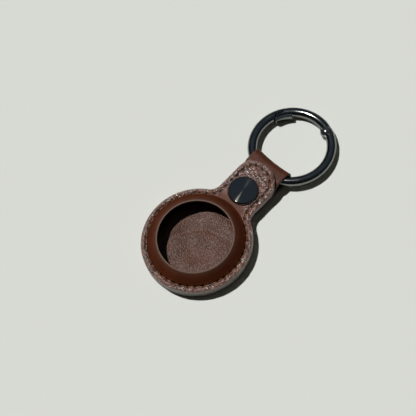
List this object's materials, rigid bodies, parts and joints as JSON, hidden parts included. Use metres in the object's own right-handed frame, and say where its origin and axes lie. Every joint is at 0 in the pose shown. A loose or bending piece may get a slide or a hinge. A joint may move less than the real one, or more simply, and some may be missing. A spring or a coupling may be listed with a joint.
{
  "type": "tracker tag holder",
  "caption": "Leather holder for a coin-shaped tracker tag: a round pocket with a raised window ring, a snap tab over a strap loop, and a key ring with a spring gate.",
  "frame": {"origin": "centre of the round tag pocket, on the flat back face", "axes": "+Y from the tag pocket to the key ring, +Z out of the window, away from the back face, +X to the side that carries the gate's pin"},
  "size_m": [0.044, 0.0944, 0.0084],
  "materials": {
    "leather_pebbled": "pebbled brown leather with a soft greyish sheen",
    "leather_smooth": "smooth red-brown leather, satin",
    "leather_lining": "thin brown lining leather",
    "leather_edge": "cut edge, dyed greyish brown",
    "former_plastic": "matt dark brown",
    "thread": "waxed brown thread",
    "cap_metal": "blue-black, turned in fine rings",
    "snap_metal": "black oxide, satin",
    "ring_metal": "black nickel, glossy",
    "spring_steel": "bright spring steel"
  },
  "bodies": {
    "holder": {"back_panel": "leather_pebbled", "back_lining": "leather_lining", "welt": "leather_edge", "front_lining": "leather_lining", "rim_former": "former_plastic", "front_panel": "leather_smooth", "front_seam_thread": "thread", "back_seam_thread": "thread", "ring_strap": "leather_smooth", "snap_post": "snap_metal", "snap_stud": "snap_metal"},
    "tab": {"front_tab": "leather_pebbled", "tab_lining": "leather_lining", "tab_thread": "thread", "snap_cap": "cap_metal", "snap_socket": "snap_metal", "snap_spring": "spring_steel"},
    "ring": {"ring_body": "ring_metal"},
    "gate": {"ring_gate": "ring_metal", "gate_pin": "ring_metal", "gate_spring": "spring_steel"},
    "plunger": {"gate_plunger": "spring_steel"}
  },
  "joints": [
    {"name": "tab_open", "type": "hinge", "parent": "holder", "child": "tab", "pos_m": [0, 0.0197, 0.0052], "axis": [1, 0, 0], "range_deg": [0, 65], "deforming": ["snap_spring"]},
    {"name": "ring_swing", "type": "hinge", "parent": "holder", "child": "ring", "pos_m": [0, 0.04, 0.00315], "axis": [1, 0, 0], "range_deg": [-140, 110], "deforming": ["ring_strap"]},
    {"name": "gate_open", "type": "hinge", "parent": "ring", "child": "gate", "pos_m": [0.00586, 0.06844, 0.00203], "axis": [0, 0.038, 0.9993], "range_deg": [0, 35], "stiffness_Nm_per_rad": 0.05, "springref_deg": -20.05},
    {"name": "plunger_slide", "type": "slide", "parent": "gate", "child": "plunger", "axis": [-0.9512, 0.3084, -0.0117], "range_m": [0, 0.0007], "deforming": ["gate_spring"]}
  ],
  "couplings": [
    {"joint": "plunger_slide", "follows": "gate_open", "m_per_rad": 0.001064}
  ]
}
